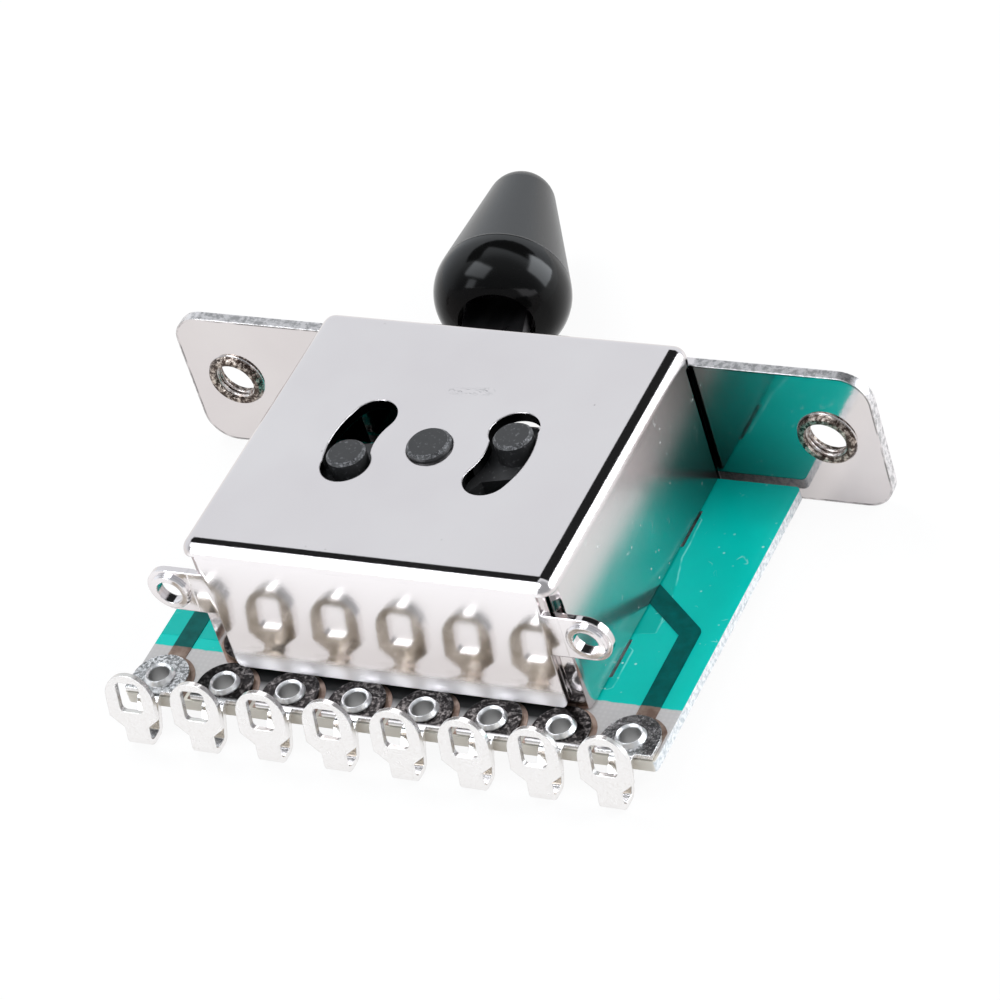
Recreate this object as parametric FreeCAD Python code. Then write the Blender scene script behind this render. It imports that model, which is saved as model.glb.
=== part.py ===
import FreeCAD, Part
import math
import os

from FreeCAD import Placement, Rotation, Vector

# Guitar pickup selector switch, in millimetres.
# X runs along the mounting plate, Y along the centred lever, Z out of the big face of the housing.
# The origin is the middle of the plate's outer face, halfway between the two mounting screws.

# Mounting plate
SCREW_SPACING = 41.3
PLATE_LENGTH = 48.3
PLATE_TOP = 4.9
PLATE_BOTTOM = -5.4
PLATE_CORNER_R = 2.0
SHEET = 0.7
SCREW_BORE_R = 1.4
COLLAR_R = 1.85
COLLAR_LENGTH = 0.4
COLLAR_EDGE = 0.12
LEVER_SLOT_LENGTH = 13.6
LEVER_SLOT_HEIGHT = 4.6
LEVER_SLOT_CORNER_R = 0.6

# Folded housing
FACE_HEIGHT = 6.25
HOUSING_WIDTH = 25.1
HOUSING_DEPTH = 21.9
BEND_R = 0.9
SEAM_GAP = 0.45
CORNER_GAP = 0.55
WALL_LIFT = 0.1
FRONT_WALL_LIFT = 0.4
FRONT_CORNER_R = 0.5
SIDE_SETBACK = 0.4
RELIEF_R = 0.95
RELIEF_DROP = 0.85
EAR_REACH = 2.8
EAR_CENTRE_Z = 2.3
EAR_R = 1.6
EAR_SHEET = 0.45
EYELET_R = 0.85
EYELET_RIM_R = 1.32
EYELET_RIM_LENGTH = 0.25
EYELET_EDGE = 0.1
TAB_WIDTH = 3.0
TAB_REAR = 5.6
TAB_FRONT = 4.9
TAB_STICKOUT = 0.15

# Pivot, guide pegs and their slots in the face
PIVOT_SETBACK = 10.56
PIVOT_PIN_R = 1.42
RUNNING_CLEARANCE = 0.06
PIN_STICKOUT = 0.45
PEG_RADIUS_OUT = 5.25
PEG_R = 1.25
PEG_STICKOUT = 0.35
SLOT_SIDE_GAP = 0.25
SLOT_SWEEP = 24.0
SLOT_END_R = 1.62
PIN_EDGE = 0.2

# Lever positions
DETENT_STEP = 8.0
DETENT_COUNT = 5

# Board, copper and lugs
BOARD_DROP = 10.35
BOARD_MARGIN = 2.01
BOARD_SHELF = 3.0
BOARD_REAR = -1.05
BOARD_THICKNESS = 0.8
BOARD_CORNER_R = 0.3
BOARD_PLAY = 0.12
COPPER = 0.05
COPPER_MARGIN = 0.15
TRACE_WIDTH = 1.3
LUG_COUNT = 8
LUG_PITCH = 4.59
LUG_INSET = 1.35
LUG_SHEET = 0.35
LUG_BASE_R = 1.87
LUG_EDGE_GAP = 0.1
LUG_FOLD = 1.25
PAD_R = 2.15
LUG_STEM_WIDTH = 1.5
LUG_HEAD_WIDTH = 3.35
LUG_HEAD_LENGTH = 3.05
LUG_HEAD_RISE = 2.05
LUG_SHOULDER = 0.75
LUG_LEAN = 12.0
LUG_REACH = 2.8
LUG_DEPTH = 5.9
LUG_BEND_R = 0.45
LUG_EYE_WIDTH = 1.65
LUG_EYE_LENGTH = 2.1
LUG_EYE_R = 0.35
LUG_EYE_DROP = 0.55
RIVET_HOLE_R = 0.66
RIVET_SHANK_R = 0.8
RIVET_RIM_R = 1.0
RIVET_CREST_R = 0.82
RIVET_RIM_HEIGHT = 0.34
RIVET_FOOT_R = 1.05
RIVET_FOOT_HEIGHT = 0.25

# Rotor
ROTOR_GAP_TOP = 0.5
ROTOR_GAP_BOTTOM = 1.0
HUB_R = 4.0
ARM_R = 2.3
FOOT_PIN_R = 1.2
NOSE_WIDTH = 4.4
NOSE_REACH = 7.7
NOSE_HEIGHT = 4.4
JAW_WALL = 0.9
JAW_LIP = 1.2
JAW_REACH = 1.6

# Lever blade and tip
LEVER_WIDTH = 4.2
LEVER_THICKNESS = 1.2
LEVER_EYE_R = 1.6
TIP_GAP = 7.26
TIP_LENGTH = 14.2
TIP_R = 4.4
TIP_RIDGE = 3.65
TIP_MOUTH_R = 2.5
TIP_MOUTH_DEPTH = 2.2
TIP_CROWN_R = 2.28
TANG_WIDTH = 3.0
TANG_LENGTH = 7.5

# Contact springs
WIPER_SHEET = 0.2
WIPER_WIDTH = 3.4
WIPER_SPLIT = 1.4
WIPER_REACH = 2.5
WIPER_GAP = 0.05
COMMON_TRACK = (3.7, 4.8)
THROW_TRACK = (5.6, 6.8)
TRACK_SWEEP = 24.0
THROW_EDGES = ((-22.0, -5.5), (-4.2, 4.2), (5.5, 22.0))
TRACE_KNEES = (
    ((4.25, -32.0), (5.02, -50.3)),
    ((6.74, -25.0),),
    ((7.4, 0.0), (9.26, -6.6)),
    ((6.44, 15.7), (11.06, 5.9)),
)
TRACE_RISES = (6.15, 7.75, 7.35, 9.25)

# Detent
BALL_R = 1.2
BALL_LIFT = 0.2
NOTCH_DEPTH = 0.12
NOTCH_PLAY = 0.1
SPRING_WIRE = 0.3
SPRING_PLAY = 0.1
SPRING_TURNS = 5
SPRING_SEAT = 3.1
DETENT_BACK = 0.71
DETENT_HORNS = 2.01
DETENT_HEIGHT = 2.2
DETENT_WIDTH = 10.6
DETENT_PIN_R = 0.7
DETENT_PIN_X = 3.9
DETENT_PIN_INSET = 0.15

REST_ANGLE = DETENT_STEP * (DETENT_COUNT - 1) / 2
FACE_INSIDE = FACE_HEIGHT - SHEET
BOARD_TOP = FACE_HEIGHT - BOARD_DROP
BOARD_BOTTOM = BOARD_TOP - BOARD_THICKNESS
COPPER_TOP = BOARD_TOP + COPPER
SIDE_INSIDE = HOUSING_WIDTH / 2 - SHEET
WALL_INSIDE = -(HOUSING_DEPTH - SHEET)
FRONT_WALL_WIDTH = HOUSING_WIDTH - 2 * (SHEET + CORNER_GAP)
EAR_CENTRE_X = FRONT_WALL_WIDTH / 2 + EAR_REACH
TAB_CENTRES_Y = (-TAB_REAR, TAB_FRONT - HOUSING_DEPTH)
PIVOT_Y = PIVOT_SETBACK - HOUSING_DEPTH
PIVOT = Vector(0, PIVOT_Y, 0)
UPRIGHT = Rotation(Vector(1, 0, 0), 90)
SLOT_HALF_WIDTH = PEG_R + SLOT_SIDE_GAP
BOARD_WIDTH = LUG_PITCH * (LUG_COUNT - 1) + 2 * BOARD_MARGIN
BOARD_FRONT = -HOUSING_DEPTH - BOARD_SHELF
LUG_ROW_Y = BOARD_FRONT + LUG_INSET
ROTOR_TOP = FACE_INSIDE - ROTOR_GAP_TOP
ROTOR_BOTTOM = BOARD_TOP + ROTOR_GAP_BOTTOM
DETENT_RADIUS = PIVOT_Y - WALL_INSIDE - DETENT_BACK
TIP_START = TIP_GAP - PIVOT_Y
BALL_CENTRE = DETENT_RADIUS - BALL_LIFT - BALL_R
BORE_R = BALL_R + RUNNING_CLEARANCE


def box(x0, x1, y0, y1, z0, z1):
    """Block between two corners."""
    return Part.makeBox(x1 - x0, y1 - y0, z1 - z0, Vector(x0, y0, z0))


def rod(radius, start, end):
    """Cylinder from one point to another."""
    axis = end - start
    return Part.makeCylinder(radius, axis.Length, start, axis)


def polar(radius, degrees):
    """Point in the plane of the face, measured from the pivot."""
    angle = math.radians(degrees)
    return PIVOT + Vector(radius * math.cos(angle), radius * math.sin(angle), 0)


def prism(wire, z0, z1):
    """Solid on a closed wire drawn at z = 0."""
    face = Part.Face(wire)
    face.translate(Vector(0, 0, z0))
    return face.extrude(Vector(0, 0, z1 - z0))


def fillet_where(solid, radius, wanted):
    """Fillet the edges whose two ends and middle satisfy a test."""
    edges = []
    for edge in solid.Edges:
        if edge.Degenerated:
            continue
        middle = edge.valueAt((edge.FirstParameter + edge.LastParameter) / 2)
        if wanted(edge, middle):
            edges.append(edge)
    return solid.makeFillet(radius, edges)


def chamfer_where(solid, size, wanted):
    """Chamfer the edges that satisfy a test, which is cheaper than a fillet on small rims."""
    return solid.makeChamfer(size, [edge for edge in solid.Edges if wanted(edge)])


def is_rim(edge, radius):
    """True for a circular edge of this radius."""
    return isinstance(edge.Curve, Part.Circle) and abs(edge.Curve.Radius - radius) < 0.01


def is_vertical(edge):
    """True for a straight edge along Z."""
    if not isinstance(edge.Curve, Part.Line):
        return False
    return abs(edge.Curve.Direction.z) > 0.999


def rounded_rectangle(width, height, radius, place):
    """Closed wire of a rectangle with round corners, centred and moved by a placement."""
    x, y, r = width / 2, height / 2, radius
    k = r * (1 - math.sqrt(0.5))
    corners = ((x, -y, 1, -1), (x, y, 1, 1), (-x, y, -1, 1), (-x, -y, -1, -1))
    edges = []
    ends = []
    for cx, cy, sx, sy in corners:
        level = Vector(cx - sx * r, cy, 0)
        upright = Vector(cx, cy - sy * r, 0)
        middle = Vector(cx - sx * k, cy - sy * k, 0)
        if sx * sy < 0:
            ends.append((level, middle, upright))
        else:
            ends.append((upright, middle, level))
    for i, (first, middle, last) in enumerate(ends):
        edges.append(Part.Arc(first, middle, last).toShape())
        following = ends[(i + 1) % 4][0]
        if (following - last).Length > 1e-6:
            edges.append(Part.LineSegment(last, following).toShape())
    wire = Part.Wire(edges)
    wire.Placement = place
    return wire


def bent_strip(points, radius, thickness, x0, x1):
    """Strip of sheet along (y, z) points, bent at each inner point, and x0 to x1 wide."""
    path = [Vector(0, y, z) for y, z in points]
    left = [[], []]
    for i in range(1, len(path) - 1):
        into = (path[i] - path[i - 1]).normalize()
        out = (path[i + 1] - path[i]).normalize()
        turn = into.getAngle(out)
        side = 1 if into.cross(out).x > 0 else -1
        back = radius * math.tan(turn / 2)
        start = path[i] - into * back
        end = path[i] + out * back
        normal = Vector(1, 0, 0).cross(into) * side
        centre = start + normal * radius
        middle = centre + (path[i] - centre).normalize() * radius
        for k, offset in enumerate((thickness / 2, -thickness / 2)):
            scale = (radius - offset * side) / radius
            left[k].append([centre + (p - centre) * scale for p in (start, middle, end)])
    first = Vector(1, 0, 0).cross((path[1] - path[0]).normalize()) * (thickness / 2)
    last = Vector(1, 0, 0).cross((path[-1] - path[-2]).normalize()) * (thickness / 2)
    edges = []
    for k, sign in enumerate((1, -1)):
        here = path[0] + first * sign
        for start, middle, end in left[k]:
            edges.append(Part.LineSegment(here, start).toShape())
            edges.append(Part.Arc(start, middle, end).toShape())
            here = end
        edges.append(Part.LineSegment(here, path[-1] + last * sign).toShape())
    edges.append(Part.LineSegment(path[0] + first, path[0] - first).toShape())
    edges.append(Part.LineSegment(path[-1] + last, path[-1] - last).toShape())
    face = Part.Face(Part.Wire(Part.__sortEdges__(edges)))
    face.translate(Vector(x0, 0, 0))
    return face.extrude(Vector(x1 - x0, 0, 0))


def arc_slot(radius, half_width, start, end):
    """Closed wire of a slot that follows a circle about the pivot."""
    outer, inner = radius + half_width, radius - half_width
    middle = (start + end) / 2
    cap = math.degrees(half_width / radius)
    edges = [
        Part.Arc(polar(outer, start), polar(outer, middle), polar(outer, end)),
        Part.Arc(polar(outer, end), polar(radius, end + cap), polar(inner, end)),
        Part.Arc(polar(inner, end), polar(inner, middle), polar(inner, start)),
        Part.Arc(polar(inner, start), polar(radius, start - cap), polar(outer, start)),
    ]
    return Part.Wire([edge.toShape() for edge in edges])


def sector(inner, outer, start, end):
    """Closed wire of part of a ring about the pivot."""
    middle = (start + end) / 2
    edges = [
        Part.Arc(polar(outer, start), polar(outer, middle), polar(outer, end)),
        Part.LineSegment(polar(outer, end), polar(inner, end)),
        Part.Arc(polar(inner, end), polar(inner, middle), polar(inner, start)),
        Part.LineSegment(polar(inner, start), polar(outer, start)),
    ]
    return Part.Wire([edge.toShape() for edge in edges])


def at_rest(solid):
    """Swing a piece that was drawn with the lever centred to the position that the lever rests in."""
    turned = solid.copy()
    turned.rotate(PIVOT, Vector(0, 0, 1), REST_ANGLE)
    return turned


def folded_shell():
    """The drawn box of the housing with its round bends, open underneath."""
    half = HOUSING_WIDTH / 2
    inset = BEND_R - SHEET
    outer = box(-half, half, -HOUSING_DEPTH, 0, BOARD_TOP + WALL_LIFT, FACE_HEIGHT)
    inner = box(-half + SHEET, half - SHEET, WALL_INSIDE, -SHEET, BOARD_TOP - 1, FACE_INSIDE)

    def is_bend(edge, middle):
        return is_vertical(edge) or middle.z > FACE_INSIDE - 0.01

    outer = fillet_where(outer, BEND_R, is_bend)
    return outer.cut(fillet_where(inner, inset, is_bend))


def corner_cuts():
    """Reliefs that part the walls from each other, at the four corners of the box."""
    cuts = []
    half = HOUSING_WIDTH / 2
    wall_end = FRONT_WALL_WIDTH / 2
    side_front = -HOUSING_DEPTH + SIDE_SETBACK
    for side in (1, -1):
        low = box(*sorted((side * wall_end, side * (half + 1))), -HOUSING_DEPTH - 1, side_front,
                  BOARD_TOP - 1, EAR_CENTRE_Z + EAR_R)
        high = rod(RELIEF_R, Vector(side * (half - 0.1), -HOUSING_DEPTH + 0.1, EAR_CENTRE_Z),
                   Vector(side * (half - 0.1), -HOUSING_DEPTH + 0.1, FACE_HEIGHT - RELIEF_DROP))
        rear = box(*sorted((side * (half - SHEET - 0.2), side * (half + 0.01))), -SHEET - SEAM_GAP, -SHEET,
                   BOARD_TOP - 1, PLATE_TOP)
        cuts += [low, high, rear]
    under = box(-wall_end - CORNER_GAP / 2, wall_end + CORNER_GAP / 2, -HOUSING_DEPTH - 1, WALL_INSIDE + 0.01,
                BOARD_TOP - 1, BOARD_TOP + FRONT_WALL_LIFT)
    cuts.append(under)
    return cuts


def lower_corner(edge, middle):
    """True for the outer lower corners of the front wall, which are rounded."""
    if not isinstance(edge.Curve, Part.Line) or abs(edge.Curve.Direction.y) < 0.999:
        return False
    low = abs(middle.z - BOARD_TOP - FRONT_WALL_LIFT) < 0.01
    return low and abs(abs(middle.x) - FRONT_WALL_WIDTH / 2) < 0.01 and middle.y < WALL_INSIDE


def mounting_plate():
    """Flat plate with round corners, its lever slot and two extruded screw holes."""
    height = PLATE_TOP - PLATE_BOTTOM
    middle = Vector(0, 0, (PLATE_TOP + PLATE_BOTTOM) / 2)
    wire = rounded_rectangle(PLATE_LENGTH, height, PLATE_CORNER_R, Placement(middle, UPRIGHT))
    plate = Part.Face(wire).extrude(Vector(0, -SHEET, 0))
    for side in (1, -1):
        x = side * SCREW_SPACING / 2
        collar = rod(COLLAR_R, Vector(x, -SHEET / 2, 0), Vector(x, -SHEET - COLLAR_LENGTH, 0))
        plate = plate.fuse(collar)
        plate = plate.cut(rod(SCREW_BORE_R, Vector(x, 1, 0), Vector(x, -SHEET - COLLAR_LENGTH - 1, 0)))
    return chamfer_where(plate, COLLAR_EDGE, lambda edge: is_rim(edge, COLLAR_R))


def lever_slot():
    """Tool for the slot that the lever passes through, with play on both sides of the plate."""
    wire = rounded_rectangle(LEVER_SLOT_LENGTH, LEVER_SLOT_HEIGHT, LEVER_SLOT_CORNER_R,
                             Placement(Vector(0, SHEET, 0), UPRIGHT))
    return Part.Face(wire).extrude(Vector(0, -3 * SHEET, 0))


def front_ear(side):
    """Flat ear beside the front wall, with a raised eyelet."""
    front = -HOUSING_DEPTH
    inner_x = FRONT_WALL_WIDTH / 2 - 0.5
    strip = box(*sorted((side * inner_x, side * EAR_CENTRE_X)), front, front + EAR_SHEET,
                EAR_CENTRE_Z - EAR_R, EAR_CENTRE_Z + EAR_R)
    centre = Vector(side * EAR_CENTRE_X, front, EAR_CENTRE_Z)
    end = rod(EAR_R, centre, centre + Vector(0, EAR_SHEET, 0))
    rim = rod(EYELET_RIM_R, centre + Vector(0, EAR_SHEET / 2, 0), centre - Vector(0, EYELET_RIM_LENGTH, 0))
    rim = chamfer_where(rim, EYELET_EDGE, lambda edge: is_rim(edge, EYELET_RIM_R))
    return strip.fuse(end).fuse(rim)


def eyelet_bore(side):
    """Hole through the ear and its rim."""
    x = side * EAR_CENTRE_X
    front, back = -HOUSING_DEPTH - 2 * EYELET_RIM_LENGTH, WALL_INSIDE + SHEET
    return rod(EYELET_R, Vector(x, front, EAR_CENTRE_Z), Vector(x, back, EAR_CENTRE_Z))


def tab_boxes(play):
    """Tabs of the side walls, or with some play the slots they pass through."""
    boxes = []
    for side in (1, -1):
        x0, x1 = sorted((side * SIDE_INSIDE, side * HOUSING_WIDTH / 2))
        for y in TAB_CENTRES_Y:
            boxes.append(box(x0 - play, x1 + play, y - TAB_WIDTH / 2 - play, y + TAB_WIDTH / 2 + play,
                             BOARD_BOTTOM - TAB_STICKOUT, BOARD_TOP + WALL_LIFT + play))
    return boxes


def make_housing():
    """Mounting plate, face and three walls, folded from one sheet."""
    shell = folded_shell()
    for cut in corner_cuts():
        shell = shell.cut(cut)
    shell = fillet_where(shell, FRONT_CORNER_R, lower_corner)
    body = shell.fuse(mounting_plate()).cut(lever_slot())
    for side in (1, -1):
        body = body.fuse(front_ear(side))
    for side in (1, -1):
        body = body.cut(eyelet_bore(side))
    for tab in tab_boxes(0):
        body = body.fuse(tab)
    for wire in (arc_slot(PEG_RADIUS_OUT, SLOT_HALF_WIDTH, -SLOT_SWEEP, SLOT_SWEEP),
                 arc_slot(PEG_RADIUS_OUT, SLOT_HALF_WIDTH, 180 - SLOT_SWEEP, 180 + SLOT_SWEEP)):
        body = body.cut(prism(wire, FACE_INSIDE - 1, FACE_HEIGHT + 1))
    below, above = Vector(0, 0, FACE_INSIDE - 1), Vector(0, 0, FACE_HEIGHT + 1)
    for degrees in (SLOT_SWEEP, 180 + SLOT_SWEEP):
        centre = polar(PEG_RADIUS_OUT, degrees)
        body = body.cut(rod(SLOT_END_R, centre + below, centre + above))
    pivot_hole = rod(PIVOT_PIN_R + RUNNING_CLEARANCE, PIVOT + below, PIVOT + above)
    return body.cut(pivot_hole).removeSplitter()


def lug_x(number):
    """Middle of a lug, numbered from the left."""
    return LUG_PITCH * (number - (LUG_COUNT - 1) / 2 - 1)


def make_board():
    """Board with its rivet holes, pivot hole and slots for the tabs."""
    middle = Vector(0, (BOARD_FRONT + BOARD_REAR) / 2, 0)
    depth = BOARD_REAR - BOARD_FRONT
    outline = rounded_rectangle(BOARD_WIDTH, depth, BOARD_CORNER_R, Placement(middle, Rotation()))
    board = prism(outline, BOARD_BOTTOM, BOARD_TOP)
    through = (Vector(0, 0, BOARD_BOTTOM - 1), Vector(0, 0, BOARD_TOP + 1))
    for number in range(1, LUG_COUNT + 1):
        centre = Vector(lug_x(number), LUG_ROW_Y, 0)
        board = board.cut(rod(RIVET_SHANK_R, centre + through[0], centre + through[1]))
    board = board.cut(rod(FOOT_PIN_R + RUNNING_CLEARANCE, PIVOT + through[0], PIVOT + through[1]))
    for side in (1, -1):
        centre = Vector(side * DETENT_PIN_X, detent_pin_y(), 0)
        board = board.cut(rod(DETENT_PIN_R, centre + through[0], centre + through[1]))
    for slot in tab_boxes(BOARD_PLAY):
        slot.translate(Vector(0, 0, -BOARD_PLAY / 2))
        board = board.cut(slot)
    return board


def facing(side, degrees):
    """Angle about the pivot, mirrored for the left pole."""
    return degrees if side > 0 else 180 - degrees


def trace(path):
    """Flat copper trace along a path, with round ends and corners."""
    whole = None
    for a, b in zip(path, path[1:]):
        along = (b - a).normalize()
        across = Vector(-along.y, along.x, 0) * (TRACE_WIDTH / 2)
        wire = Part.makePolygon([a + across, b + across, b - across, a - across, a + across])
        piece = prism(wire, BOARD_TOP, COPPER_TOP)
        bend = rod(TRACE_WIDTH / 2, a + Vector(0, 0, BOARD_TOP), a + Vector(0, 0, COPPER_TOP))
        piece = piece.fuse(bend)
        whole = piece if whole is None else whole.fuse(piece)
    return whole


def pad(x):
    """Copper pad under a lug, a little wider than its base."""
    ring = rod(PAD_R, Vector(x, LUG_ROW_Y, BOARD_TOP), Vector(x, LUG_ROW_Y, COPPER_TOP))
    return ring.fuse(box(x - PAD_R, x + PAD_R, BOARD_FRONT, LUG_ROW_Y, BOARD_TOP, COPPER_TOP))


def make_nets(side):
    """Four copper nets of one pole, each from its contact track to its lug."""
    near = LUG_COUNT // 2 + (1 if side > 0 else 0)
    tracks = [(COMMON_TRACK, (-TRACK_SWEEP, TRACK_SWEEP))] + [(THROW_TRACK, edges) for edges in THROW_EDGES]
    half = BOARD_WIDTH / 2 - COPPER_MARGIN
    limits = box(-half, half, BOARD_FRONT + COPPER_MARGIN, BOARD_REAR - COPPER_MARGIN, BOARD_TOP, COPPER_TOP)
    nets = []
    for k, (ring, edges) in enumerate(tracks):
        x = lug_x(near + side * k)
        ends = [polar(radius, facing(side, degrees)) for radius, degrees in TRACE_KNEES[k]]
        ends += [Vector(x, LUG_ROW_Y + TRACE_RISES[k], 0), Vector(x, LUG_ROW_Y, 0)]
        start, end = sorted(facing(side, degrees) for degrees in edges)
        net = prism(sector(ring[0], ring[1], start, end), BOARD_TOP, COPPER_TOP)
        net = net.fuse(trace(ends)).fuse(pad(x)).common(limits)
        net = net.cut(rod(RIVET_SHANK_R, Vector(x, LUG_ROW_Y, BOARD_BOTTOM), Vector(x, LUG_ROW_Y, 0)))
        for slot in tab_boxes(BOARD_PLAY):
            net = net.cut(slot)
        nets.append(net.removeSplitter())
    return Part.makeCompound(nets)


def make_lug(number):
    """Solder lug: round base on the board, stem folded under and up, and a head with an eye."""
    z0, z1 = COPPER_TOP, COPPER_TOP + LUG_SHEET
    mid = (z0 + z1) / 2
    edge_y = BOARD_FRONT + LUG_EDGE_GAP
    sheet = box(-LUG_BASE_R, LUG_BASE_R, edge_y, LUG_ROW_Y + LUG_BASE_R, z0, z1)
    base = rod(LUG_BASE_R, Vector(0, LUG_ROW_Y, z0), Vector(0, LUG_ROW_Y, z1)).common(sheet)
    base = base.fuse(box(-LUG_BASE_R, LUG_BASE_R, edge_y, LUG_ROW_Y, z0, z1))
    lean = Vector(0, math.sin(math.radians(LUG_LEAN)), math.cos(math.radians(LUG_LEAN)))
    foot_z = -LUG_DEPTH + LUG_SHEET / 2
    front_y = BOARD_FRONT - LUG_REACH + LUG_SHEET / 2
    head_start = Vector(0, front_y, foot_z) + lean * LUG_HEAD_RISE
    stem_end = head_start + lean * LUG_SHEET
    path = [(LUG_ROW_Y - RIVET_SHANK_R, mid), (BOARD_FRONT - LUG_SHEET, mid),
            (BOARD_FRONT - LUG_FOLD, foot_z), (front_y, foot_z), (stem_end.y, stem_end.z)]
    stem = bent_strip(path, LUG_BEND_R, LUG_SHEET, -LUG_STEM_WIDTH / 2, LUG_STEM_WIDTH / 2)
    lug = base.fuse(stem).fuse(lug_head(head_start))
    lug = lug.cut(rod(RIVET_SHANK_R, Vector(0, LUG_ROW_Y, BOARD_BOTTOM), Vector(0, LUG_ROW_Y, 0)))
    lug.translate(Vector(lug_x(number), 0, 0))
    return lug.removeSplitter()


def lug_head(start):
    """Upright head of a lug, drawn flat and then leaned back towards the board."""
    w, s = LUG_HEAD_WIDTH / 2, LUG_STEM_WIDTH / 2
    crown = LUG_HEAD_LENGTH - w
    edges = [
        Part.LineSegment(Vector(-s, -LUG_SHOULDER, 0), Vector(s, -LUG_SHOULDER, 0)),
        Part.LineSegment(Vector(s, -LUG_SHOULDER, 0), Vector(w, 0, 0)),
        Part.LineSegment(Vector(w, 0, 0), Vector(w, crown, 0)),
        Part.Arc(Vector(w, crown, 0), Vector(0, LUG_HEAD_LENGTH, 0), Vector(-w, crown, 0)),
        Part.LineSegment(Vector(-w, crown, 0), Vector(-w, 0, 0)),
        Part.LineSegment(Vector(-w, 0, 0), Vector(-s, -LUG_SHOULDER, 0)),
    ]
    head = Part.Face(Part.Wire([edge.toShape() for edge in edges]))
    eye_centre = LUG_HEAD_LENGTH - LUG_EYE_DROP - LUG_EYE_LENGTH / 2
    eye_place = Placement(Vector(0, eye_centre, 0), Rotation())
    eye = rounded_rectangle(LUG_EYE_WIDTH, LUG_EYE_LENGTH, LUG_EYE_R, eye_place)
    head = head.cut(Part.Face(eye)).extrude(Vector(0, 0, LUG_SHEET))
    head.translate(Vector(0, 0, -LUG_SHEET / 2))
    head.Placement = Placement(start, Rotation(Vector(1, 0, 0), 90 - LUG_LEAN)).multiply(head.Placement)
    return head


def make_rivets():
    """Hollow rivets that clamp the lugs to the board, rolled over above and flared below."""
    top, foot = COPPER_TOP + LUG_SHEET, BOARD_BOTTOM - RIVET_FOOT_HEIGHT
    outline = [(RIVET_HOLE_R, foot), (RIVET_FOOT_R, BOARD_BOTTOM), (RIVET_SHANK_R, BOARD_BOTTOM),
               (RIVET_SHANK_R, top), (RIVET_RIM_R, top), (RIVET_CREST_R, top + RIVET_RIM_HEIGHT),
               (RIVET_HOLE_R, top + RIVET_RIM_HEIGHT / 2), (RIVET_HOLE_R, foot)]
    profile = Part.Face(Part.makePolygon([Vector(r, 0, z) for r, z in outline]))
    rivet = profile.revolve(Vector(0, 0, 0), Vector(0, 0, 1), 360)
    rivets = []
    for number in range(1, LUG_COUNT + 1):
        placed = rivet.copy()
        placed.translate(Vector(lug_x(number), LUG_ROW_Y, 0))
        rivets.append(placed)
    return Part.makeCompound(rivets)


def lever_blank():
    """Lever blade with the lever centred: eye around the pivot, blade, shoulders and tang."""
    half, tang = LEVER_WIDTH / 2, TANG_WIDTH / 2
    shoulder = TIP_START + TIP_MOUTH_DEPTH
    low, high = -LEVER_THICKNESS / 2, LEVER_THICKNESS / 2
    blade = box(-half, half, PIVOT_Y, PIVOT_Y + shoulder, low, high)
    blade = blade.fuse(box(-tang, tang, PIVOT_Y + shoulder, PIVOT_Y + shoulder + TANG_LENGTH, low, high))
    blade = blade.fuse(rod(half, PIVOT + Vector(0, 0, low), PIVOT + Vector(0, 0, high)))
    eye = rod(LEVER_EYE_R, PIVOT + Vector(0, 0, low - 1), PIVOT + Vector(0, 0, high + 1))
    return blade.cut(eye).removeSplitter()


def make_lever():
    """Steel blade from the pivot to inside the tip."""
    return at_rest(lever_blank())


def make_tip():
    """Tapered tip with a rounded foot and crown, hollow underneath around the blade."""
    mouth, ridge, end = TIP_START, TIP_START + TIP_RIDGE, TIP_START + TIP_LENGTH
    floor = mouth + TIP_MOUTH_DEPTH

    def at(r, s):
        return Vector(r, s, 0)

    quarter = math.sqrt(0.5)
    lip_mid = at(TIP_MOUTH_R + (TIP_R - TIP_MOUTH_R) * quarter, ridge - TIP_RIDGE * quarter)
    centre = end - TIP_CROWN_R
    reach = centre - ridge
    slope = math.atan2(TIP_R, reach) - math.asin(TIP_CROWN_R / math.hypot(TIP_R, reach))

    def on_crown(angle):
        return at(TIP_CROWN_R * math.cos(angle), centre + TIP_CROWN_R * math.sin(angle))

    edges = [
        Part.LineSegment(at(0, floor), at(TIP_MOUTH_R, floor)),
        Part.LineSegment(at(TIP_MOUTH_R, floor), at(TIP_MOUTH_R, mouth)),
        Part.Arc(at(TIP_MOUTH_R, mouth), lip_mid, at(TIP_R, ridge)),
        Part.LineSegment(at(TIP_R, ridge), on_crown(slope)),
        Part.Arc(on_crown(slope), on_crown((slope + math.pi / 2) / 2), at(0, end)),
        Part.LineSegment(at(0, end), at(0, floor)),
    ]
    profile = Part.Face(Part.Wire([edge.toShape() for edge in edges]))
    tip = profile.revolve(Vector(0, 0, 0), Vector(0, 1, 0), 360)
    tip.translate(PIVOT)
    return at_rest(tip.cut(lever_blank()))


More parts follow.
